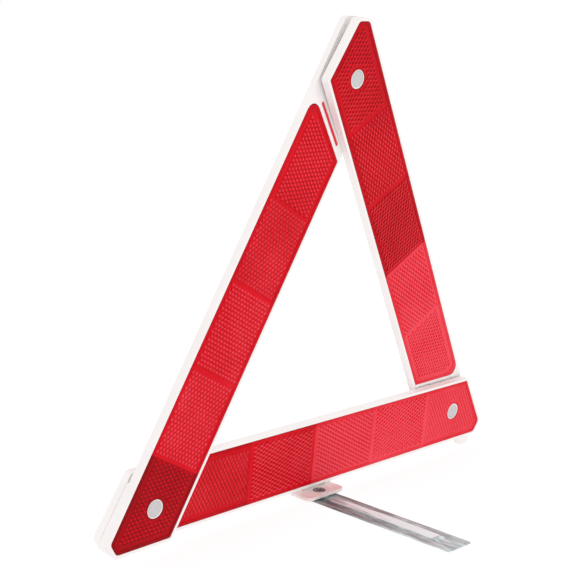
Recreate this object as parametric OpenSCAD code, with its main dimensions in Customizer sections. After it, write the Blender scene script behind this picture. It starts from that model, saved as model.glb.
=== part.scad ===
// Folding roadside warning triangle.
// Three flat reflector arms lap over each other at the corners like a woven ring:
// each arm's head lies in front of the next arm's tail. The two bottom corners are
// riveted hinges and the top corner is an open hook on a stud. One steel leg swivels
// under the bottom arm, and the triangle leans forward onto it.
//
// Frames used below:
//   arm frame    x from tail to head, y towards the triangle's middle, z to the front
//   plane frame  x right, y up the triangle, z to the front, bottom arm at z = 0
//   ground frame +Z up, -Y to the front, the ground at z = 0

/* [Triangle] */
// Side length between the sharp corners
side = 430; // [400:5:520]
// Width of each arm
arm_w = 55; // [46:1:68]
// Thickness of each arm
arm_t = 6.4; // [6:0.1:7.8]
// Depth cut off each sharp tip
tip_cut = 11.5; // [9:0.5:15]
// Corner radius at the cut tips
tip_r = 5; // [2:0.5:6]
// Corner radius at the wide inner corners
inner_r = 3; // [1:0.5:5]
// Forward lean of the triangle, degrees
lean = 5.4; // [3:0.1:8]
// Height of the bottom arm's edge above the ground
ground_gap = 7; // [6.4:0.1:9]

/* [Reflectors] */
// Width of the frame's rim round each reflector
rim_w = 2.2; // [1.6:0.1:3]
// Depth of the pocket that holds a reflector
pocket_d = 2.4; // [2.2:0.1:2.5]
// Thickness of a front reflector, which lies level with the rim
front_t = 2.4; // [2.2:0.1:2.5]
// Thickness of a rear reflector, which lies below the rim
rear_t = 2; // [1.6:0.1:2.1]
// Gap round a reflector in its pocket
reflector_gap = 0.2; // [0.1:0.05:0.4]
// Distance from the crossing arm's edge to the left front reflector's end
left_lap = 8; // [6:0.5:11]
// Distance from the crossing arm's edge to the right front reflector's end
right_lap = 3.4; // [2.8:0.2:6]
// How far the bottom front reflector reaches under the left arm
bottom_under = 1.5; // [0:0.5:3]
// Distance from the crossing arm's edge to a rear reflector's end
rear_lap = 5.4; // [5:0.2:10]
// Step down of the ledge between the rim and the crossing arm
ledge_drop = 0.8; // [0.4:0.1:1.2]
// Width of the slot in the left arm's ledge
slot_w = 2.8; // [2.2:0.2:4]
// Length of the slot in the left arm's ledge
slot_len = 38; // [25:1:40]
// Corner radius at the reflector's tail
tail_r = 7; // [4:0.5:10]

/* [Corner hinges] */
// Gap between the planes of two hinged arms, measured at the hinge
fold_gap = 2.2; // [1.8:0.1:2.6]
// Angle that the left arm turns in to fold
left_fold = 60; // [50:1:60]
// Diameter of the rivets' shanks
shank_d = 5; // [4:0.5:6]
// Diameter of the rivets' flat heads
head_d = 12; // [10:0.5:14]
// Thickness of the rivets' flat heads
head_t = 1.4; // [1.1:0.1:1.7]
// Depth of the heads below the rim
head_drop = 0.6; // [0.4:0.1:0.8]
// Width of the plastic ring round each head
ring_w = 1; // [0.8:0.1:2]
// Diameter of the spacer washers
washer_d = 22; // [18:1:26]
// Thickness of the spacer washers
washer_t = 1; // [0.8:0.1:1.2]
// Running clearance of shanks and faces
run_gap = 0.05; // [0.03:0.01:0.09]
// Seam between the two layers at the hinged corners
seam = 0.3; // [0.2:0.05:0.5]
// Rise of the plastic ring above the head
ring_lip = 0.1; // [0.05:0.05:0.3]

/* [Top latch] */
// Gap between the planes of the two arms at the latch
latch_gap = 2; // [1.4:0.1:2.6]
// Reach of the stud behind the right arm's face
stud_reach = 3.3; // [2.8:0.1:3.4]
// Side clearance of the stud in its hook
hook_gap = 0.5; // [0.4:0.05:0.8]
// Diameter of the stud's push-on collar
collar_d = 10; // [9:0.5:12]
// Thickness of the stud's push-on collar
collar_t = 0.8; // [0.6:0.1:1]

/* [Leg] */
// Width of the steel leg
leg_w = 25.5; // [20:0.5:31]
// Reach from the swivel to the tip
leg_len = 139; // [116:1:166]
// Length behind the swivel
heel_len = 10.8; // [9.5:0.1:11.5]
// Sheet thickness
sheet_t = 1; // [0.8:0.1:1.2]
// Width of the stamped rib
rib_w = 12; // [9:0.5:14]
// Height of the stamped rib
rib_h = 1.1; // [0.8:0.1:1.2]
// Flat length between the rib and the tip
pad_len = 17; // [12:1:24]
// Flat length between the dimple and the rib
rib_start = 4; // [2:0.5:10]
// Width of the rib's sloping sides
rib_slope = 1.5; // [1:0.1:2]
// Corner radius at the tip
leg_tip_r = 1.5; // [0.5:0.5:4]
// Corner radius at the heel
heel_r = 5; // [2:0.5:6]
// Outer diameter of the dimple round the swivel
dimple_d = 16; // [14.6:0.2:16.4]
// Rise of the dimple
dimple_h = 1; // [0.8:0.1:1.2]

/* [Leg bracket] */
// Width of the bracket's tab
tab_w = 40; // [32:1:48]
// Reach of the tab in front of the arm
tab_reach = 15; // [13:0.5:19]
// Thickness of the tab
tab_t = 2.5; // [2.2:0.1:2.8]
// Corner radius of the tab
tab_r = 5; // [3:0.5:7]
// Distance from the arm's front face to the swivel
swivel_reach = 6; // [5.8:0.1:8]
// Outer diameter of the eyelet
eyelet_d = 6.4; // [5.5:0.1:7]
// Hole through the eyelet
eyelet_bore_d = 4.4; // [3.5:0.1:5]
// Diameter of the eyelet's flanges
flange_d = 10.4; // [9.6:0.1:11]
// Thickness of the eyelet's flanges
flange_t = 0.6; // [0.4:0.1:0.7]
// Thickness of the swivel's washer
leg_washer_t = 0.4; // [0.3:0.1:0.5]
// Length of each cheek that carries the tab
cheek_w = 6; // [5:0.5:8]
// Distance of the cheeks from the tab's ends
cheek_inset = 1; // [0.5:0.5:3]
// Length of the pegs that hold the cheeks in the arm
tenon_len = 2.4; // [1.6:0.2:2.8]

/* [Feet] */
// Distance of each foot from the middle
foot_x = 188; // [170:1:190]
// Width of a foot at the arm
foot_top_w = 16; // [13:1:19]
// Width of a foot on the ground
foot_base_w = 8; // [6:1:10]

/* [Hidden] */
$fn = 64;
half = side / 2;
pivot_inset = arm_w / 2;
pivot_x = half - pivot_inset / tan(30);
apex_y = pivot_inset + 2 * pivot_x * sin(60);
layer_sep = arm_t + fold_gap;
latch_sep = arm_t + latch_gap;
tilt = atan((layer_sep + latch_sep / 2) / (2 * pivot_x));
left_end = arm_w + left_lap;
right_end = arm_w + right_lap;
bottom_end = arm_w - bottom_under;
rear_end = arm_w + rear_lap;
slot_start = left_end / tan(60) + (arm_w / sin(60) - slot_len) / 2;
ring_r = head_d / 2 + ring_w;
shank_r = shank_d / 2;
head_r = head_d / 2;
set_gap = 0.02;
// Reach of one joined shape into the next, and of cuts past a surface
bite = 0.1;
root_in = 0.5;
over = 1;
skin = 0.01;
least_r = 1;
// Layout along a hinge axis, from the middle of the two layers
face_w = layer_sep / 2 + arm_t / 2;
head_top = face_w - head_drop;
head_under = head_top - head_t;
pad_x = 5;
pad_y = arm_w / 2 - 6;
pad_depth = 4;
seat_len = 2;
shank_short = 0.3;
// Layout along the latch axis
latch_face = latch_sep / 2 + arm_t / 2;
latch_head_under = latch_face - head_drop - head_t;
latch_land = 1.5;
hook_sink = 0.3;
hook_steps = 6;
hook_turn = 7;
left_ratio = left_fold / 300;
// Ground layout
swivel_y = -8.5;
arm_y = swivel_y + swivel_reach + arm_t / 2;
dimple_top = sheet_t + dimple_h;
tab_low = dimple_top + run_gap + leg_washer_t;
tab_top = tab_low + tab_t;
through = 10;

white = [0.95, 0.93, 0.92];
red = [0.84, 0.1, 0.14];
grey = [0.78, 0.78, 0.78];
steel = [0.7, 0.71, 0.72];
milky = [0.95, 0.86, 0.84];

// ---- Outlines ----

function unit(v) = v / norm(v);
function turn(v, a) = [v[0] * cos(a) - v[1] * sin(a), v[0] * sin(a) + v[1] * cos(a)];

// Points of the arc that rounds corner p between its neighbours a and b
function corner(a, p, b, r, n = 5) =
    let(u = unit(a - p), v = unit(b - p), open = acos(u * v))
    let(centre = p + unit(u + v) * r / sin(open / 2), first = p + u * r / tan(open / 2) - centre)
    let(side_sign = sign(u[0] * v[1] - u[1] * v[0]), sweep = 180 - open)
    [for (i = [0 : n]) centre + turn(first, -side_sign * sweep * i / n)];

// A closed outline with each corner rounded by its own radius
function rounded(points, radii) =
    let(n = len(points))
    [for (i = [0 : n - 1])
        each corner(points[(i + n - 1) % n], points[i], points[(i + 1) % n], radii[i])];

// Half-length of an arm's outline, inset all round, at height y above its centre line
function reach(y, inset) = half - (y + arm_w / 2) / tan(60) - inset / sin(60);

// Where the tip cut meets the slanted end
function tip_side(inset) =
    let(sharp = [half - inset / tan(30), -arm_w / 2 + inset])
    let(left_over = tip_cut - inset)
    sharp + turn([-left_over / cos(30), 0], -60);

// The two ends of the tip cut on an inset outline
function tip_low(inset) =
    let(sharp = [half - inset / tan(30), -arm_w / 2 + inset])
    sharp - [(tip_cut - inset) / cos(30), 0];

function arm_outline(inset) =
    let(low = tip_low(inset), up = tip_side(inset), high = arm_w / 2 - inset)
    let(wide = reach(high, inset))
    let(small = max(tip_r - inset / 2, least_r))
    rounded(
        [[-low[0], low[1]], low, up, [wide, high], [-wide, high], [-up[0], up[1]]],
        [small, small, small, inner_r, inner_r, small]);

// Reflector outline: full at the head, cut at the tail so that it ends at distance end
// from the tail's slanted side
function reflector_outline(inset, tail_end) =
    let(low = tip_low(inset), up = tip_side(inset), high = arm_w / 2 - inset)
    let(wide = reach(high, inset), end = tail_end - rim_w + inset)
    let(tail_low = -reach(-arm_w / 2 + inset, end), tail_high = -reach(high, end))
    let(small = max(tip_r - inset / 2, least_r))
    rounded(
        [low, up, [wide, high], [tail_high, high], [tail_low, -arm_w / 2 + inset]],
        [small, small, inner_r / 2, inner_r / 2, tail_r]);

// ---- Placing ----

module stand() translate([0, arm_y, ground_gap]) rotate([90 + lean, 0, 0]) children();

module place_bottom() translate([0, pivot_inset, 0]) children();

module place_left()
    translate([-pivot_x, pivot_inset, layer_sep])
        rotate([0, 0, 240])
            rotate([0, -tilt, 0])
                translate([-pivot_x, 0, 0])
                    children();

module place_right()
    translate([pivot_x, pivot_inset, -layer_sep])
        rotate([0, 0, 120])
            rotate([0, -tilt, 0])
                translate([pivot_x, 0, 0])
                    children();

// Tip the z axis by angle towards the in-plane direction heading
module tip_axis(angle, heading) rotate(a = angle, v = [-sin(heading), cos(heading), 0]) children();

// Hinge axes, each between its two layers, set so that the fold ends flat
module at_left_pivot()
    translate([-pivot_x, pivot_inset, layer_sep / 2])
        tip_axis(tilt, 120)
            children();

module at_right_pivot()
    translate([pivot_x, pivot_inset, -layer_sep / 2])
        tip_axis(tilt, 240)
            children();

module at_latch() translate([0, apex_y, 0]) tip_axis(tilt / 2, 0) children();

// A cylinder between two heights
module disc(r, low, high) translate([0, 0, low]) cylinder(r = r, h = high - low);

// A slab between two heights and two x places, up to y_high
module block(low, high, x_low, x_high, y_high = 2 * arm_w)
    translate([x_low, -2 * arm_w, low])
        cube([x_high - x_low, 2 * arm_w + y_high, high - low]);

// ---- Arms ----

module arm_prism(low, high) translate([0, 0, low]) linear_extrude(high - low) polygon(arm_outline(0));

module pocket(tail_end)
    translate([0, 0, arm_t / 2 - pocket_d])
        linear_extrude(pocket_d + over)
            polygon(reflector_outline(rim_w, tail_end));

// The lowered ledge on the tail's front, between the reflector's rim and the tip
module ledge(tail_end)
    translate([-half + (tail_end - rim_w) / sin(60), -arm_w / 2, arm_t / 2 - ledge_drop])
        rotate([0, 0, 60])
            translate([-arm_w, 0, 0])
                cube([3 * arm_w, 2 * arm_w, ledge_drop + over]);

// Slot along the ledge, half way between the rim and the crossing arm
module ledge_slot()
    translate([-half, -arm_w / 2, -arm_t / 2])
        rotate([0, 0, 60])
            translate([slot_start, -arm_w - (left_lap - rim_w) / 2, 0])
                slot_shape();

module slot_shape()
    linear_extrude(arm_t)
        union() {
            translate([slot_w / 2, -slot_w / 2]) square([slot_len - slot_w, slot_w]);
            for (x = [slot_w / 2, slot_len - slot_w / 2]) translate([x, 0]) circle(d = slot_w);
        }

// One arm: rims, web, pockets front and rear, and a ring for each flush head
module arm_plate(tail_end) {
    difference() {
        arm_prism(-arm_t / 2, arm_t / 2);
        pocket(tail_end);
        rotate([0, 180, 0]) pocket(rear_end);
        ledge(max(tail_end, arm_w + rim_w));
    }
    translate([pivot_x, 0, 0]) disc(ring_r, 0, arm_t / 2 - head_drop + ring_lip);
    translate([-pivot_x, 0, 0]) disc(ring_r, -arm_t / 2 + head_drop - ring_lip, 0);
}

// Space for a rivet on a hinge axis, with clearance round its shank and under each head
module rivet_space(radial, front_gap, rear_gap) {
    disc(shank_r + radial, -face_w - over, face_w + over);
    disc(head_r + 2 * run_gap, head_under - front_gap, face_w + over);
    disc(head_r + 2 * run_gap, -face_w - over, -head_under + rear_gap);
}

module foot(x)
    intersection() {
        stand()
            translate([x, 0, -arm_t / 2])
                linear_extrude(arm_t)
                    polygon([
                        [-foot_top_w / 2, root_in], [-foot_top_w / 2, 0],
                        [-foot_base_w / 2, -ground_gap - over], [foot_base_w / 2, -ground_gap - over],
                        [foot_top_w / 2, 0], [foot_top_w / 2, root_in]
                    ]);
        translate([x - foot_top_w, -through, 0]) cube([2 * foot_top_w, 4 * through, 2 * through]);
    }

module bottom_arm_frame() color(white) {
    difference() {
        union() {
            stand() difference() {
                union() {
                    place_bottom() arm_plate(bottom_end);
                    // Corner pads fill the lap up to the seam
                    intersection() {
                        place_bottom() arm_prism(arm_t / 2 - ledge_drop - root_in, arm_t / 2 + pad_depth);
                        at_left_pivot() block(-pad_depth, -seam / 2, -2 * arm_w, pad_x);
                    }
                    intersection() {
                        place_bottom() arm_prism(-arm_t / 2 - pad_depth, -arm_t / 2 + root_in);
                        at_right_pivot() block(seam / 2, pad_depth, -pad_x, 2 * arm_w);
                    }
                    at_left_pivot() disc(washer_d / 2, -washer_t / 2 - seat_len, -washer_t / 2);
                    at_right_pivot() disc(washer_d / 2, washer_t / 2, washer_t / 2 + seat_len);
                }
                at_left_pivot() {
                    block(-seam / 2, pad_depth, -2 * arm_w, pad_x);
                    disc(washer_d / 2 + run_gap, -washer_t / 2, pad_depth);
                    rivet_space(set_gap, 0, 0);
                }
                at_right_pivot() {
                    block(-pad_depth, seam / 2, -pad_x, 2 * arm_w);
                    disc(washer_d / 2 + run_gap, -pad_depth, washer_t / 2);
                    rivet_space(set_gap, 0, 0);
                }
            }
            for (x = [-foot_x, foot_x]) foot(x);
        }
        stand() bracket_tenons(set_gap);
    }
}

module left_arm_frame() color(white) stand() difference() {
    union() {
        place_left() difference() {
            arm_plate(left_end);
            ledge_slot();
        }
        intersection() {
            place_left() arm_prism(-arm_t / 2 - pad_depth, -arm_t / 2 + root_in);
            at_left_pivot() block(seam / 2, pad_depth, -2 * arm_w, pad_x, pad_y);
        }
        at_left_pivot() disc(washer_d / 2, washer_t / 2 + run_gap, washer_t / 2 + seat_len);
    }
    at_left_pivot() {
        block(-pad_depth, seam / 2, -2 * arm_w, pad_x);
        disc(washer_d / 2 + 2 * run_gap, -pad_depth, washer_t / 2 + run_gap);
        rivet_space(run_gap, run_gap, 0);
    }
    at_latch() {
        rotate([0, 0, 210]) block(-seam / 2, 2 * pad_depth, -2 * arm_w, arm_w / 2 + latch_land);
        disc(head_r + 2 * run_gap, -2 * face_w, -latch_head_under);
        disc(shank_r + hook_gap / 2, -2 * face_w, 0);
        hook_slot();
    }
}

module right_arm_frame() color(white) stand() difference() {
    union() {
        place_right() arm_plate(right_end);
        intersection() {
            place_right() arm_prism(arm_t / 2 - ledge_drop - root_in, arm_t / 2 + pad_depth);
            at_right_pivot() block(-pad_depth, -seam / 2, -pad_x, 2 * arm_w, pad_y);
        }
        at_right_pivot() disc(washer_d / 2, -washer_t / 2 - seat_len, -washer_t / 2 - run_gap);
    }
    at_right_pivot() {
        block(-seam / 2, pad_depth, -pad_x, 2 * arm_w);
        disc(washer_d / 2 + 2 * run_gap, -washer_t / 2 - run_gap, pad_depth);
        rivet_space(run_gap, 0, run_gap);
    }
    at_latch() {
        rotate([0, 0, -30]) block(-2 * pad_depth, seam / 2, -2 * arm_w, arm_w / 2 + latch_land);
        disc(shank_r + set_gap, -2 * face_w, 2 * face_w);
        disc(head_r + 2 * run_gap, latch_head_under, 2 * face_w);
        disc(collar_d / 2 + 2 * run_gap, -2 * face_w, seam / 2 + collar_t + run_gap);
    }
}

// ---- Hook at the top ----

// Where the stud lies in the left arm when the right arm has swung out by angle
function stud_at(angle) =
    let(from_right = turn([-pivot_x, apex_y - pivot_inset], -angle) + [pivot_x, 0])
    let(from_left = turn(from_right + [pivot_x, 0], angle * left_ratio) - [pivot_x, 0])
    from_left - [0, apex_y - pivot_inset];

// Open slot along the stud's way out, through the left arm's tail to its edge
module hook_slot() {
    path = [for (i = [0 : hook_steps]) stud_at(hook_turn * i / hook_steps)];
    ways = [for (i = [0 : hook_steps])
        turn(unit(path[min(i + 1, hook_steps)] - path[max(i - 1, 0)]), 90)];
    wall = shank_r + hook_gap / 2;
    translate([0, 0, -latch_head_under - hook_sink])
        linear_extrude(2 * face_w)
            polygon([
                for (i = [0 : hook_steps]) path[i] + wall * ways[i],
                for (i = [hook_steps : -1 : 0]) path[i] - wall * ways[i]
            ]);
}

// ---- Reflectors ----

module reflector(thickness, tail_end)
    difference() {
        translate([0, 0, arm_t / 2 - pocket_d])
            linear_extrude(thickness)
                polygon(reflector_outline(rim_w + reflector_gap, tail_end));
        translate([pivot_x, 0, 0]) disc(ring_r + reflector_gap, 0, arm_t);
    }

module bottom_front_reflector() color(red) stand() place_bottom() reflector(front_t, bottom_end);
module left_front_reflector() color(red) stand() place_left() reflector(front_t, left_end);
module right_front_reflector() color(red) stand() place_right() reflector(front_t, right_end);
module bottom_rear_reflector() color(red) stand() place_bottom() rotate([0, 180, 0]) reflector(rear_t, rear_end);
module left_rear_reflector() color(red) stand() place_left() rotate([0, 180, 0]) reflector(rear_t, rear_end);
module right_rear_reflector() color(red) stand() place_right() rotate([0, 180, 0]) reflector(rear_t, rear_end);

// ---- Hinge and latch hardware ----

module rivet() {
    disc(head_r, head_under, head_top);
    disc(shank_r, -head_top + shank_short, head_under + bite);
}

module rivet_cap()
    difference() {
        disc(head_r, -head_top, -head_under);
        disc(shank_r + set_gap, -face_w, 0);
    }

module spacer()
    difference() {
        disc(washer_d / 2, -washer_t / 2, washer_t / 2);
        disc(shank_r + run_gap, -washer_t, washer_t);
    }

module left_pivot_rivet() color(grey) stand() at_left_pivot() rivet();
module left_pivot_cap() color(grey) stand() at_left_pivot() rivet_cap();
module left_pivot_washer() color(white) stand() at_left_pivot() spacer();
module right_pivot_rivet() color(grey) stand() at_right_pivot() rivet();
module right_pivot_cap() color(grey) stand() at_right_pivot() rivet_cap();
module right_pivot_washer() color(white) stand() at_right_pivot() spacer();

module latch_stud() color(grey) stand() at_latch() {
    disc(head_r, latch_head_under, latch_head_under + head_t);
    disc(shank_r, -stud_reach, latch_head_under + bite);
}

module latch_collar() color(steel) stand() at_latch()
    difference() {
        disc(collar_d / 2, seam / 2 + run_gap, seam / 2 + collar_t + run_gap);
        disc(shank_r + set_gap, -over, 2 * collar_t + over);
    }

module latch_cap() color(grey) stand() at_latch()
    disc(head_r, -latch_head_under - head_t, -latch_head_under);

// ---- Leg and bracket ----

// Small pegs that hold the bracket's cheeks in the arm's edge
module bracket_tenons(gap)
    for (x = [-1, 1])
        translate([x * (tab_w / 2 - cheek_w / 2 - cheek_inset), 0, 0])
            translate([-cheek_w / 4 - gap, -bite, -arm_t / 6 - gap])
                cube([cheek_w / 2 + 2 * gap, tenon_len + bite + gap, arm_t / 3 + 2 * gap]);

module tab_outline() {
    front = arm_y - arm_t / 2 - tab_reach;
    back = arm_y + arm_t / 2 - root_in;
    polygon(rounded(
        [[-tab_w / 2, front], [tab_w / 2, front], [tab_w / 2, back], [-tab_w / 2, back]],
        [tab_r, tab_r, least_r, least_r]));
}

module leg_bracket() color(milky)
    difference() {
        union() {
            translate([0, 0, tab_low]) linear_extrude(tab_t) tab_outline();
            stand() {
                bracket_tenons(0);
                for (x = [-1, 1])
                    translate([x * (tab_w / 2 - cheek_w / 2 - cheek_inset), 0, 0])
                        translate([-cheek_w / 2, tab_top - ground_gap - over, -arm_t / 2])
                            cube([cheek_w, ground_gap - tab_top + over, arm_t]);
            }
        }
        translate([0, swivel_y, 0]) disc(eyelet_d / 2 + set_gap, 0, 2 * through);
    }

module leg_eyelet() color(steel)
    translate([0, swivel_y, 0])
        difference() {
            union() {
                disc(flange_d / 2, tab_top, tab_top + flange_t);
                disc(eyelet_d / 2, dimple_h - run_gap - flange_t, tab_top + flange_t);
                disc(flange_d / 2, dimple_h - run_gap - flange_t, dimple_h - run_gap);
            }
            disc(eyelet_bore_d / 2, -over, 2 * through);
        }

module leg_washer() color(white)
    translate([0, swivel_y, 0])
        difference() {
            disc(dimple_d / 2 - over, dimple_top + run_gap, tab_low);
            disc(eyelet_d / 2 + run_gap, 0, 2 * through);
        }

// Long raised rib with sloping sides; grow moves every face outwards
module rib(rise, grow) {
    near = -dimple_d / 2 - rib_start;
    far = -leg_len + pad_len;
    hull() {
        translate([-rib_w / 2 - grow, far, -skin]) cube([rib_w + 2 * grow, near - far, skin]);
        translate([-rib_w / 2 - grow + rib_slope, far + 2 * rib_slope, 0])
            cube([rib_w + 2 * (grow - rib_slope), near - far - 4 * rib_slope, rise]);
    }
}

module support_leg() color(steel)
    translate([0, swivel_y, 0])
        difference() {
            union() {
                linear_extrude(sheet_t)
                    polygon(rounded(
                        [[-leg_w / 2, -leg_len], [leg_w / 2, -leg_len],
                            [leg_w / 2, heel_len], [-leg_w / 2, heel_len]],
                        [leg_tip_r, leg_tip_r, heel_r, heel_r]));
                disc(dimple_d / 2, 0, dimple_top);
                translate([0, 0, sheet_t]) rib(rib_h, 0);
            }
            disc(dimple_d / 2 - sheet_t, -over, dimple_h);
            disc(eyelet_d / 2 + run_gap, -over, 2 * through);
            rib(rib_h, -sheet_t / 2);
        }

bottom_arm_frame();
left_arm_frame();
right_arm_frame();
bottom_front_reflector();
left_front_reflector();
right_front_reflector();
bottom_rear_reflector();
left_rear_reflector();
right_rear_reflector();
left_pivot_rivet();
left_pivot_cap();
left_pivot_washer();
right_pivot_rivet();
right_pivot_cap();
right_pivot_washer();
latch_stud();
latch_collar();
latch_cap();
leg_bracket();
leg_eyelet();
leg_washer();
support_leg();
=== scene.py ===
import math
import random

import bmesh
import bpy
from mathutils import Matrix, Vector


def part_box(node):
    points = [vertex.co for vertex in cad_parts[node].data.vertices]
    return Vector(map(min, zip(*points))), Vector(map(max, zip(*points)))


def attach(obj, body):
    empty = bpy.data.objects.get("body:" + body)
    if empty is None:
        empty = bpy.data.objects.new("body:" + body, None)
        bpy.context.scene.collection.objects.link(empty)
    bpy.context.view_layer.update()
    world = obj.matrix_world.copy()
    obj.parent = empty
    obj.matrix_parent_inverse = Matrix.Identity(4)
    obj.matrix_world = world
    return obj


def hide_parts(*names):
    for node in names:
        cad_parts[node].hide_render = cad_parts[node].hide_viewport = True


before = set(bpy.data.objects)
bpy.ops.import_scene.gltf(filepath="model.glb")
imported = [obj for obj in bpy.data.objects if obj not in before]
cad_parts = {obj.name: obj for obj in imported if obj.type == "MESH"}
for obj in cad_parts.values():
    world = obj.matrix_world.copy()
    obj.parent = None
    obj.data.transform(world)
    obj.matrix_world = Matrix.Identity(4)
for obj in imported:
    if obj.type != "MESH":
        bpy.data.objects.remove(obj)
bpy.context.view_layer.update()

MM = 0.001
random.seed(7)

# ---- Driving dimensions of the arms, in millimetres, as the frame has them ----
SIDE = 430
ARM_W = 55
ARM_T = 6.4
TIP_CUT = 11.5
TIP_R = 5
INNER_R = 3
TAIL_R = 7
LEAN = 5.4
GROUND_GAP = 7
RIM_W = 2.2
POCKET_D = 2.4
FRONT_T = 2.4
REAR_T = 2
LEFT_LAP = 8
RIGHT_LAP = 3.4
BOTTOM_UNDER = 1.5
REAR_LAP = 5.4
LEDGE_DROP = 0.8
SLOT_W = 2.8
SLOT_LEN = 38
FOLD_GAP = 2.2
LATCH_GAP = 2
RING_R = 7
SWIVEL = (0, -8.5)
SWIVEL_REACH = 6

# ---- Detail that only the visual model has, in millimetres ----
EDGE_R = 0.45         # rounding of the moulded white edges
PLATE_BEVEL = 0.35    # bevel round a reflector
SEAM = 0.05           # hairline between a reflector and its frame
BORDER_W = 1.9        # smooth band round the prisms
RIDGE_W = 0.5         # fine ridge between band and prisms
RIDGE_H = 0.15
FIELD_DROP = 0.3      # depth of the prisms' field below the band
PRISM_PITCH = 3.4     # distance between prism centres
PRISM_H = 0.5
PRISM_FILL = 0.96     # share of the pitch that a prism covers
PRISM_HIGH = 0.55     # heights of a prism's high and low corners, as shares of its own
PRISM_LOW = 0.08
FIELD_MARGIN = 0.58   # pitches from the ridge to the first prism's centre
ZONE_MARGIN = 0.5     # pitches from a zone's border to the first prism's centre
COLLAR_MARGIN = 0.6   # pitches from the disc's collar to the first prism's centre
TONE_SPREAD = 0.025   # how far a prism's tone strays from its zone's
ZONE_LEN = 62         # length of a zone of prisms along the arm
COLLAR_W = 0.8        # raised collar round a corner disc
TONGUE_DROP = 0.7     # depth of the red tongue in the ledge's slot
TONGUE_GAP = 0.15
TONGUE_BEVEL = 0.2
TONGUE_TAPER = 0.995
ZONE_TURNS = (0, 90, 30, 90)   # lattice direction of the zones in turn, degrees
HEAD_RELIEF = 0.6              # flatter prisms round a corner disc

# ---- Painted highlight along the leg's rib and painted shadow near the bracket, in millimetres from the middle and in front of the swivel ----
RIB_EDGE = 4.2
RIB_FADE = 1.2
RIB_FROM = 12
RIB_TO = 124
# painted highlight on the rib's top
RIB_HIGHLIGHT = 0.20               # how much lighter the rib is
# lighter towards the tip
TIP_LIFT = 0.04
# painted shadow of the bracket, darker towards the bracket
HEEL_SHADE = 0.11

# ---- How light faces are, on the reflectors' scale from 0 dark to 1 light; facets, prism walls and edges get painted glint and shade ----
# painted glint, middle tone and painted shade of a prism's three facets
FACET_GLINT_AND_SHADE = (0.24, 0.03, -0.22)
# painted shade on a prism's walls
WALL_SHADE = 0.16
FIELD_SHADE = -0.02
BAND_SHADE = 0.1
# painted shadow along a reflector's edge and round a corner disc
EDGE_SHADE = 0.5
TONGUE_TONE = 0.8

HALF = SIDE / 2
PIVOT_INSET = ARM_W / 2
PIVOT_X = HALF - PIVOT_INSET / math.tan(math.radians(30))
LAYER_SEP = ARM_T + FOLD_GAP
LATCH_SEP = ARM_T + LATCH_GAP
TILT = math.atan((LAYER_SEP + LATCH_SEP / 2) / (2 * PIVOT_X))
TAIL_END = {"left": ARM_W + LEFT_LAP, "right": ARM_W + RIGHT_LAP, "bottom": ARM_W - BOTTOM_UNDER}
REAR_END = ARM_W + REAR_LAP
ARM_Y = SWIVEL[1] + SWIVEL_REACH + ARM_T / 2
PLATE_LOW = ARM_T / 2 - POCKET_D
SLOT_START = TAIL_END["left"] / math.tan(math.radians(60)) + (ARM_W / math.sin(math.radians(60)) - SLOT_LEN) / 2


# ---- Arm frames: x from tail to head, y towards the triangle's middle, z to the front ----

def turn_z(degrees):
    return Matrix.Rotation(math.radians(degrees), 4, "Z")


def move(x, y, z):
    return Matrix.Translation((x, y, z))


STAND = move(0, ARM_Y, GROUND_GAP) @ Matrix.Rotation(math.radians(90 + LEAN), 4, "X")
TIP_BACK = Matrix.Rotation(-TILT, 4, "Y")
ARMS = {
    "bottom": STAND @ move(0, PIVOT_INSET, 0),
    "left": STAND @ move(-PIVOT_X, PIVOT_INSET, LAYER_SEP) @ turn_z(240) @ TIP_BACK @ move(-PIVOT_X, 0, 0),
    "right": STAND @ move(PIVOT_X, PIVOT_INSET, -LAYER_SEP) @ turn_z(120) @ TIP_BACK @ move(PIVOT_X, 0, 0),
}
FLIP = Matrix.Rotation(math.pi, 4, "Y")
BODY = {"bottom": "bottom_arm", "left": "left_arm", "right": "right_arm"}


# ---- Reflector outline ----

def round_corner(a, p, b, r, steps=5):
    """Points of the arc that rounds corner p between its neighbours a and b."""
    u, v = (a - p).normalized(), (b - p).normalized()
    opening = math.acos(max(-1, min(1, u.dot(v))))
    centre = p + (u + v).normalized() * (r / math.sin(opening / 2))
    first = p + u * (r / math.tan(opening / 2)) - centre
    side = math.copysign(1, u.x * v.y - u.y * v.x)
    sweep = math.pi - opening
    return [centre + Matrix.Rotation(-side * sweep * i / steps, 2) @ first for i in range(steps + 1)]


def reach(y, inset):
    return HALF - (y + ARM_W / 2) / math.tan(math.radians(60)) - inset / math.sin(math.radians(60))


def reflector_outline(inset, tail_end):
    """The reflector's outline, inset all round from the arm's edge.

    It ends tail_end from the tail's slanted side.
    """
    low_y, high = -ARM_W / 2 + inset, ARM_W / 2 - inset
    sharp = Vector((HALF - inset / math.tan(math.radians(30)), low_y))
    cut = (TIP_CUT - inset) / math.cos(math.radians(30))
    low = sharp - Vector((cut, 0))
    up = sharp + Matrix.Rotation(math.radians(-60), 2) @ Vector((-cut, 0))
    end = tail_end - RIM_W + inset
    points = [low, up, Vector((reach(high, inset), high)), Vector((-reach(high, end), high)),
              Vector((-reach(low_y, end), low_y))]
    small = max(TIP_R - inset / 2, 1)
    radii = [small, small, INNER_R / 2, INNER_R / 2, TAIL_R]
    n = len(points)
    return [q for i in range(n) for q in round_corner(points[i - 1], points[i], points[(i + 1) % n], radii[i])]


def circle_points(radius, centre_x=PIVOT_X, steps=48):
    return [Vector((centre_x + radius * math.cos(2 * math.pi * i / steps),
                    radius * math.sin(2 * math.pi * i / steps))) for i in range(steps)]


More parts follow.
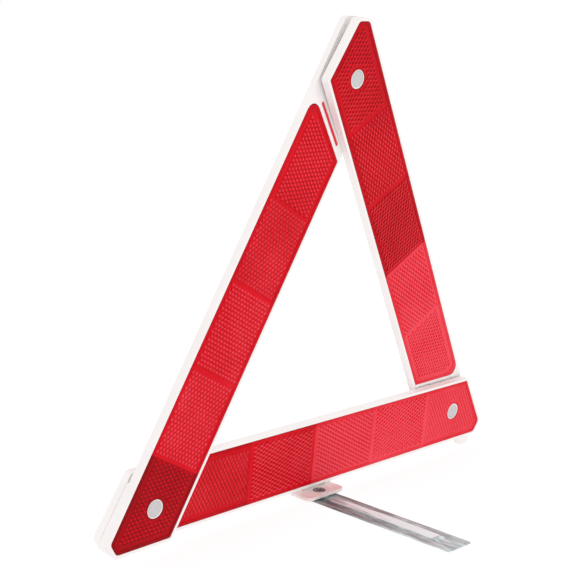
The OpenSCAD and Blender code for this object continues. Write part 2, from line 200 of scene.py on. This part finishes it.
def inside(p, outline):
    """True if p lies in the closed outline."""
    hit = False
    for a, b in zip(outline, outline[1:] + outline[:1]):
        if (a.y > p.y) != (b.y > p.y) and p.x < (b.x - a.x) * (p.y - a.y) / (b.y - a.y) + a.x:
            hit = not hit
    return hit


# ---- Mesh helpers ----

def ring(bm, points, z):
    return [bm.verts.new((p.x, p.y, z)) for p in points]


def join_rings(bm, a, b):
    n = len(a)
    return [bm.faces.new((a[i], a[(i + 1) % n], b[(i + 1) % n], b[i])) for i in range(n)]


def cap(bm, *rings):
    """Fills the area between closed rings of vertices."""
    edges = []
    for r in rings:
        for i in range(len(r)):
            edges.append(bm.edges.get((r[i], r[(i + 1) % len(r)])) or bm.edges.new((r[i], r[(i + 1) % len(r)])))
    bmesh.ops.triangle_fill(bm, use_beauty=True, edges=edges)


def finish_mesh(bm, name, matrix):
    """Turns a bmesh in millimetres into an object in the row frame."""
    bmesh.ops.recalc_face_normals(bm, faces=bm.faces)
    mesh = bpy.data.meshes.new(name)
    bm.to_mesh(mesh)
    bm.free()
    mesh.transform(Matrix.Scale(MM, 4) @ matrix)
    obj = bpy.data.objects.new(name, mesh)
    bpy.context.scene.collection.objects.link(obj)
    return obj


# ---- Reflectors: bevelled plate, fine ridge, and corner-cube prisms in zones ----

def add_prism(bm, tone_layer, centre, angle, low, height, tone):
    """One corner cube: a hexagon whose corners lie high and low in turn, and a raised apex."""
    r = PRISM_PITCH / math.sqrt(3) * PRISM_FILL
    corners = [centre + Vector((r * math.cos(angle + k * math.pi / 3), r * math.sin(angle + k * math.pi / 3)))
               for k in range(6)]
    base = ring(bm, corners, low)
    top = [bm.verts.new((c.x, c.y, low + (PRISM_HIGH if k % 2 else PRISM_LOW) * height))
           for k, c in enumerate(corners)]
    apex = bm.verts.new((centre.x, centre.y, low + height))
    # Prism walls get painted shade; the three facets get a painted glint, a middle tone and painted shade
    for face in join_rings(bm, base, top):
        face[tone_layer] = tone - WALL_SHADE
    for k, shade in zip((1, 3, 5), FACET_GLINT_AND_SHADE):
        face = bm.faces.new((apex, top[k], top[(k + 1) % 6], top[(k + 2) % 6]))
        face[tone_layer] = tone + shade


def zone_sheen(x, start, length, tones):
    return tones[max(0, min(int((x - start) / length), len(tones) - 1))]


def reflector(name, arm, back, tones):
    """A reflector of an arm; tones says how light each zone of prisms is, from tail to head, as painted sheen
    and shade.
    """
    bm = bmesh.new()
    tone_layer = bm.faces.layers.float.new("tone")
    seat = RIM_W + SEAM
    tail_end = REAR_END if back else TAIL_END[arm]
    plate_top = PLATE_LOW + (REAR_T if back else FRONT_T)
    field_z = plate_top - FIELD_DROP
    hole = RING_R + SEAM
    first = seat + PLATE_BEVEL + BORDER_W
    # Rings from the wall up over bevel, band and ridge, and from the disc's hole up over its collar
    outer = [ring(bm, reflector_outline(inset, tail_end), z) for inset, z in (
        (seat, PLATE_LOW), (seat, plate_top - PLATE_BEVEL), (seat + PLATE_BEVEL, plate_top), (first, plate_top),
        (first + RIDGE_W / 2, plate_top + RIDGE_H), (first + RIDGE_W, field_z))]
    inner = [ring(bm, circle_points(radius), z) for radius, z in (
        (hole, PLATE_LOW), (hole, plate_top - RIDGE_H), (hole + COLLAR_W / 4, plate_top),
        (hole + COLLAR_W * 3 / 4, plate_top), (hole + COLLAR_W, field_z))]
    # The reflector's wall and bevel, and the hole's wall and collar slope round the disc, take EDGE_SHADE: a
    # painted shadow
    for rings in (outer, inner):
        for index, (a, b) in enumerate(zip(rings, rings[1:])):
            for face in join_rings(bm, a, b):
                face[tone_layer] = EDGE_SHADE if index < 2 else 0
    cap(bm, outer[0], inner[0])
    cap(bm, outer[-1], inner[-1])
    field = reflector_outline(first + RIDGE_W + PRISM_PITCH * FIELD_MARGIN, tail_end)
    start = min(p.x for p in field)
    stop = max(p.x for p in field)
    zones = max(1, round((stop - start) / ZONE_LEN))
    length = (stop - start) / zones
    # Faces are cut at the zones' borders, so that each takes the tone of one zone
    for k in range(1, zones):
        bmesh.ops.bisect_plane(bm, geom=bm.verts[:] + bm.edges[:] + bm.faces[:],
                               plane_co=(start + k * length, 0, 0), plane_no=(1, 0, 0))
    # Each face takes its zone's painted sheen and shade, less its own painted shade or the band's or field's
    # offset
    for face in bm.faces:
        on_band = face.calc_center_median().z > plate_top - RIDGE_H
        shade = face[tone_layer] or (BAND_SHADE if on_band else FIELD_SHADE)
        face[tone_layer] = zone_sheen(face.calc_center_median().x, start, length, tones) - shade
    # Zones of prisms, each with its own lattice direction
    row = PRISM_PITCH * math.sqrt(3) / 2
    for zone in range(zones):
        x_low, x_high = start + zone * length, start + (zone + 1) * length
        angle = math.radians(ZONE_TURNS[zone % len(ZONE_TURNS)])
        centre = Vector(((x_low + x_high) / 2, 0))
        spin = Matrix.Rotation(angle, 2)
        span = int((length + ARM_W) / row)
        tone = zone_sheen(centre.x, start, length, tones)
        height = PRISM_H * (HEAD_RELIEF if zone == zones - 1 else 1)
        margin = PRISM_PITCH * ZONE_MARGIN
        clear_of_disc = hole + COLLAR_W + PRISM_PITCH * COLLAR_MARGIN
        for j in range(-span, span + 1):
            for i in range(-span, span + 1):
                p = centre + spin @ Vector(((i + (j % 2) / 2) * PRISM_PITCH, j * row))
                if not x_low + margin <= p.x <= x_high - margin:
                    continue
                if (p - Vector((PIVOT_X, 0))).length < clear_of_disc or not inside(p, field):
                    continue
                own_tone = tone + random.uniform(-TONE_SPREAD, TONE_SPREAD)
                add_prism(bm, tone_layer, p, angle + math.pi / 6, field_z, height, own_tone)
    return finish_mesh(bm, name, ARMS[arm] @ (FLIP if back else Matrix.Identity(4)))


def tongue(name):
    """The red tongue that shows in the slot of the left arm's ledge."""
    r, straight = SLOT_W / 2 - TONGUE_GAP, SLOT_LEN - SLOT_W
    arc = [(math.cos(math.pi * k / 8) * r, math.sin(math.pi * k / 8) * r) for k in range(9)]
    points = [Vector((straight + y, x)) for x, y in arc] + [Vector((-y, -x)) for x, y in arc]
    place = (move(-HALF, -ARM_W / 2, 0) @ turn_z(60)
             @ move(SLOT_START + SLOT_W / 2, -ARM_W - (LEFT_LAP - RIM_W) / 2, 0))
    top = ARM_T / 2 - LEDGE_DROP - TONGUE_DROP
    bm = bmesh.new()
    tone_layer = bm.faces.layers.float.new("tone")
    rings = [ring(bm, points, z) for z in (-top, top - TONGUE_BEVEL)]
    rings.append(ring(bm, [p * TONGUE_TAPER for p in points], top))
    for a, b in zip(rings, rings[1:]):
        join_rings(bm, a, b)
    cap(bm, rings[0])
    cap(bm, rings[-1])
    for face in bm.faces:
        face[tone_layer] = TONGUE_TONE
    return finish_mesh(bm, name, ARMS["left"] @ place)


# ---- Materials ----

class Shader:
    """A node material with short calls for the nodes used here."""

    def __init__(self, name, **sockets):
        self.material = bpy.data.materials.new(name)
        self.material.use_nodes = True
        self.nodes = self.material.node_tree.nodes
        self.links = self.material.node_tree.links
        self.bsdf = self.nodes["Principled BSDF"]
        for key, value in sockets.items():
            self.bsdf.inputs[key.replace("_", " ")].default_value = value
        self.coords = self.nodes.new("ShaderNodeTexCoord").outputs["Object"]

    def scaled(self, scale):
        node = self.nodes.new("ShaderNodeMapping")
        node.inputs["Scale"].default_value = scale
        self.links.new(self.coords, node.inputs["Vector"])
        return node.outputs["Vector"]

    def noise(self, scale, detail=4.0, stretch=(1, 1, 1), roughness=0.55):
        node = self.nodes.new("ShaderNodeTexNoise")
        node.inputs["Scale"].default_value = scale
        node.inputs["Detail"].default_value = detail
        node.inputs["Roughness"].default_value = roughness
        self.links.new(self.scaled(stretch), node.inputs["Vector"])
        return node.outputs["Fac"]

    def ramp(self, value, stops):
        node = self.nodes.new("ShaderNodeValToRGB")
        elements = node.color_ramp.elements
        while len(elements) < len(stops):
            elements.new(0.5)
        for element, (place, colour) in zip(elements, stops):
            element.position = place
            element.color = (*colour, 1)
        self.links.new(value, node.inputs["Fac"])
        return node.outputs["Color"]

    def span(self, value, low, high, from_low=0.3, from_high=0.7):
        node = self.nodes.new("ShaderNodeMapRange")
        for key, number in (("From Min", from_low), ("From Max", from_high), ("To Min", low), ("To Max", high)):
            node.inputs[key].default_value = number
        self.links.new(value, node.inputs["Value"])
        return node.outputs["Result"]

    def math(self, operation, a, b):
        node = self.nodes.new("ShaderNodeMath")
        node.operation = operation
        for socket, value in zip(node.inputs, (a, b)):
            if isinstance(value, (int, float)):
                socket.default_value = value
            else:
                self.links.new(value, socket)
        return node.outputs["Value"]

    def bump(self, height, strength, distance):
        node = self.nodes.new("ShaderNodeBump")
        node.inputs["Strength"].default_value = strength
        node.inputs["Distance"].default_value = distance
        self.links.new(height, node.inputs["Height"])
        self.links.new(node.outputs["Normal"], self.bsdf.inputs["Normal"])

    def use(self, output, socket):
        self.links.new(output, self.bsdf.inputs[socket])


def white_plastic():
    s = Shader("white_plastic", IOR=1.49)
    cloud = s.noise(38, 3)
    s.use(s.ramp(cloud, [(0.3, (0.88, 0.83, 0.82)), (0.7, (0.92, 0.88, 0.87))]), "Base Color")
    s.use(s.span(s.noise(900, 5), 0.36, 0.52), "Roughness")
    s.bump(s.noise(1600, 3), 0.12, 0.0001)
    return s.material


def red_reflector():
    s = Shader("red_reflector", IOR=1.5, Specular_IOR_Level=0.07)
    # The face attribute tone carries each zone's painted sheen and the painted glint and shade of facets, walls
    # and edges
    tone = s.nodes.new("ShaderNodeAttribute")
    tone.attribute_name = "tone"
    cloudy = s.math("ADD", tone.outputs["Fac"], s.span(s.noise(22, 2), -0.07, 0.07))
    s.use(s.ramp(cloudy, [(0.05, (0.24, 0.0005, 0.003)), (0.35, (0.50, 0.001, 0.007)),
                          (0.62, (0.71, 0.004, 0.014)), (0.95, (0.87, 0.065, 0.095))]), "Base Color")
    scuffs = s.noise(140, 6, stretch=(1, 6, 0.4), roughness=0.7)
    s.use(s.span(scuffs, 0.2, 0.4, 0.45, 0.75), "Roughness")
    return s.material


def disc_alloy():
    s = Shader("disc_alloy", Metallic=0.2)
    speckle = s.noise(1500, 4, roughness=0.75)
    s.use(s.ramp(speckle, [(0.35, (0.47, 0.45, 0.455)), (0.65, (0.70, 0.68, 0.685))]), "Base Color")
    s.use(s.span(speckle, 0.42, 0.6), "Roughness")
    s.bump(speckle, 0.2, 0.00008)
    return s.material


def rolled_steel(name, dark, middle, light, metallic):
    """Steel sheet with long streaks and fine scratches; gives the shader and a socket that lifts its tone."""
    s = Shader(name, Metallic=metallic, Specular_IOR_Level=0.3)
    broad = s.noise(60, 5, stretch=(3.2, 0.5, 3), roughness=0.7)
    streaks = s.noise(260, 6, stretch=(5, 0.22, 5), roughness=0.75)
    mixed = s.math("ADD", s.math("MULTIPLY", broad, 0.55), s.math("MULTIPLY", streaks, 0.45))
    tone = s.nodes.new("ShaderNodeMath")
    tone.operation = "ADD"
    tone.inputs[1].default_value = 0
    s.links.new(mixed, tone.inputs[0])
    s.use(s.ramp(tone.outputs["Value"], [(0.34, dark), (0.5, middle), (0.66, light)]), "Base Color")
    s.use(s.span(broad, 0.3, 0.5), "Roughness")
    s.bump(streaks, 0.25, 0.00015)
    return s, tone.inputs[1]


def leg_steel():
    """The leg: a painted shadow near the bracket, a painted highlight along the rib, and lighter at the tip."""
    s, lift = rolled_steel("leg_steel", (0.10, 0.115, 0.12), (0.38, 0.435, 0.445), (0.84, 0.94, 0.95), 0.15)
    split = s.nodes.new("ShaderNodeSeparateXYZ")
    s.links.new(s.coords, split.inputs["Vector"])
    side = s.math("ABSOLUTE", split.outputs["X"], 0)
    on_rib = s.span(side, 1, 0, RIB_EDGE * MM, (RIB_EDGE + RIB_FADE) * MM)
    along = s.math("MULTIPLY", split.outputs["Y"], -1)
    rib_span = s.math("MULTIPLY", s.span(along, 0, 1, RIB_FROM * MM, (RIB_FROM + 30) * MM),
                      s.span(along, 1, 0, RIB_TO * MM, (RIB_TO + 2) * MM))
    # painted highlight along the rib's top
    rib_highlight = s.math("MULTIPLY", s.math("MULTIPLY", on_rib, rib_span), RIB_HIGHLIGHT)
    # painted shadow near the bracket, turning lighter towards the tip
    bracket_shadow_to_tip = s.span(along, -HEEL_SHADE, TIP_LIFT, RIB_FROM * MM, (RIB_TO + 10) * MM)
    s.links.new(s.math("ADD", rib_highlight, bracket_shadow_to_tip), lift)
    return s.material


def milky_plastic():
    s = Shader("milky_plastic", IOR=1.48, Subsurface_Weight=0.2, Subsurface_Scale=0.003)
    s.use(s.ramp(s.noise(120, 3), [(0.3, (0.80, 0.66, 0.64)), (0.7, (0.88, 0.79, 0.77))]), "Base Color")
    s.use(s.span(s.noise(800, 4), 0.3, 0.45), "Roughness")
    return s.material


WHITE = white_plastic()
RED = red_reflector()
ALLOY = disc_alloy()
LEG_STEEL = leg_steel()
BRIGHT_STEEL = rolled_steel("bright_steel", (0.05, 0.05, 0.05), (0.2, 0.2, 0.21),
                            (0.6, 0.6, 0.62), 0.6)[0].material
MILKY = milky_plastic()


def paint(obj, material):
    obj.data.materials.clear()
    obj.data.materials.append(material)


def soften(obj, width, segments=3):
    """Rounds a CAD node's sharp edges for the eye."""
    weld = obj.modifiers.new("weld", "WELD")
    weld.merge_threshold = 0.000005
    flat = obj.modifiers.new("flat", "DECIMATE")
    flat.decimate_type = "DISSOLVE"
    flat.angle_limit = math.radians(1)
    bevel = obj.modifiers.new("bevel", "BEVEL")
    bevel.width = width * MM
    bevel.segments = segments
    bevel.limit_method = "ANGLE"
    bevel.angle_limit = math.radians(40)
    bevel.use_clamp_overlap = True
    bevel.harden_normals = True


# ---- CAD nodes that stay, with their finish ----

KEPT = {
    WHITE: (("bottom_arm_frame", EDGE_R), ("left_arm_frame", EDGE_R), ("right_arm_frame", EDGE_R),
            ("left_pivot_washer", 0.2), ("right_pivot_washer", 0.2), ("leg_washer", 0.1)),
    ALLOY: (("left_pivot_rivet", 0.25), ("right_pivot_rivet", 0.25), ("left_pivot_cap", 0.25),
            ("right_pivot_cap", 0.25), ("latch_stud", 0.25), ("latch_cap", 0.25)),
    BRIGHT_STEEL: (("latch_collar", 0.1),),
    LEG_STEEL: (("support_leg", 0.3),),
    MILKY: (("leg_bracket", 0.5),),
}
for material, members in KEPT.items():
    for node, width in members:
        paint(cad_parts[node], material)
        soften(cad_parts[node], width)

# ---- Reflectors ----

# How light each zone is, from tail to head, as painted sheen and shade
ZONE_SHEEN = {
    "left": (0.52, 0.52, 0.58, 0.58, 0.22),
    "bottom": (0.44, 0.58, 0.80, 0.88, 0.80),
    "right": (0.88, 0.84, 0.42, 0.46, 0.40),
}
for arm in ARMS:
    for back in (False, True):
        side_name = "rear" if back else "front"
        node = f"{arm}_{side_name}_reflector"
        piece = reflector(f"{arm}_{side_name}_prisms", arm, back, ZONE_SHEEN[arm])
        paint(piece, RED)
        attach(piece, BODY[arm])
        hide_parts(node)

strip = tongue("ledge_tongue")
paint(strip, RED)
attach(strip, "left_arm")


# ---- Eyelet with rolled lips, and rings moulded in the bracket ----

def lathe(name, profile, centre, steps=64):
    """A closed profile of (radius, height) turned about a vertical axis."""
    bm = bmesh.new()
    rings = []
    for radius, z in profile:
        rings.append(ring(bm, [Vector((centre[0] + radius * math.cos(2 * math.pi * i / steps),
                                       centre[1] + radius * math.sin(2 * math.pi * i / steps)))
                               for i in range(steps)], z))
    for a, b in zip(rings, rings[1:] + rings[:1]):
        join_rings(bm, a, b)
    obj = finish_mesh(bm, name, Matrix.Identity(4))
    for face in obj.data.polygons:
        face.use_smooth = True
    return obj


low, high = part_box("leg_eyelet")
eyelet_low, eyelet_high = low.z / MM, high.z / MM
flange_r = (high.x - low.x) / MM / 2
TUBE_R = 3.2
BORE_R = 2.2
LIP_H = 0.6


def lip(z, direction, steps=6):
    """Half-round rolled lip from the bore out to the flange's edge."""
    middle, width = (BORE_R + flange_r) / 2, (flange_r - BORE_R) / 2
    return [(middle - width * math.cos(math.pi * k / steps),
             z - direction * LIP_H * (1 - math.sin(math.pi * k / steps))) for k in range(steps + 1)]


upper, lower = lip(eyelet_high, 1), lip(eyelet_low, -1)
profile = upper + [(TUBE_R, eyelet_high - LIP_H), (TUBE_R, eyelet_low + LIP_H)] + lower[::-1]
eyelet = lathe("rolled_eyelet", profile, SWIVEL)
paint(eyelet, BRIGHT_STEEL)
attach(eyelet, "bottom_arm")
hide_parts("leg_eyelet")

tab_top = eyelet_high - LIP_H
GROOVE_RADII = (6.0, 7.0, 8.0)
GROOVE_W = 0.3
GROOVE_H = 0.12
for index, radius in enumerate(GROOVE_RADII):
    rim = lathe(f"bracket_ring_{index}",
                [(radius - GROOVE_W, tab_top - 0.05), (radius - GROOVE_W / 2, tab_top + GROOVE_H),
                 (radius + GROOVE_W / 2, tab_top + GROOVE_H), (radius + GROOVE_W, tab_top - 0.05)], SWIVEL)
    paint(rim, MILKY)
    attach(rim, "bottom_arm")

# ---- Stage: pale floor, soft light ----

FLOOR_SIZE = 80
FLOOR_DROP = 0.0002

bpy.ops.mesh.primitive_plane_add(size=FLOOR_SIZE, location=(0, 0, -FLOOR_DROP))
floor = bpy.context.object
floor.name = "floor"
ground = Shader("pale_floor", Roughness=0.9, Emission_Strength=0.8)
floor_tone = ground.ramp(ground.noise(3, 2), [(0.3, (0.25, 0.25, 0.25)), (0.7, (0.26, 0.26, 0.26))])
ground.use(floor_tone, "Base Color")
ground.bsdf.inputs["Specular IOR Level"].default_value = 0
ground.bsdf.inputs["Emission Color"].default_value = (1, 1, 1, 1)
paint(floor, ground.material)

world = bpy.data.worlds.new("studio")
bpy.context.scene.world = world
world.use_nodes = True
world.node_tree.nodes["Background"].inputs["Color"].default_value = (1, 1, 1, 1)
world.node_tree.nodes["Background"].inputs["Strength"].default_value = 1.0


def softbox(name, location, target, size, power):
    light = bpy.data.lights.new(name, "AREA")
    light.shape = "RECTANGLE"
    light.size, light.size_y = size
    light.energy = power
    obj = bpy.data.objects.new(name, light)
    obj.location = location
    obj.rotation_euler = (Vector(target) - Vector(location)).to_track_quat("-Z", "Y").to_euler()
    bpy.context.scene.collection.objects.link(obj)


softbox("key", (-0.9, -1.3, 1.5), (0, 0, 0.15), (1.2, 0.9), 1.6)
softbox("side", (1.4, -1.0, 0.7), (0, 0, 0.15), (0.9, 1.2), 0.8)

# ---- Camera at the photograph's viewing angle ----

AZIMUTH, ELEVATION, ROLL = -44.85, 11.81, 1.12
AIM = Vector((-0.0399, -0.010, 0.1707))
DISTANCE = 0.9997
LENS = 85.53
SENSOR = 36

a, e, roll = (math.radians(v) for v in (AZIMUTH, ELEVATION, ROLL))
back_dir = Vector((math.sin(a) * math.cos(e), -math.cos(a) * math.cos(e), math.sin(e)))
level = Vector((math.cos(a), math.sin(a), 0))
upward = back_dir.cross(level)
across = level * math.cos(roll) + upward * math.sin(roll)
above = upward * math.cos(roll) - level * math.sin(roll)
camera_data = bpy.data.cameras.new("camera")
camera_data.sensor_width = SENSOR
camera_data.lens = LENS
camera = bpy.data.objects.new("camera", camera_data)
bpy.context.scene.collection.objects.link(camera)
camera.matrix_world = (Matrix.Translation(AIM + back_dir * DISTANCE)
                       @ Matrix((across, above, back_dir)).transposed().to_4x4())
bpy.context.scene.camera = camera
bpy.context.scene.view_settings.view_transform = "Standard"

bpy.context.view_layer.update()
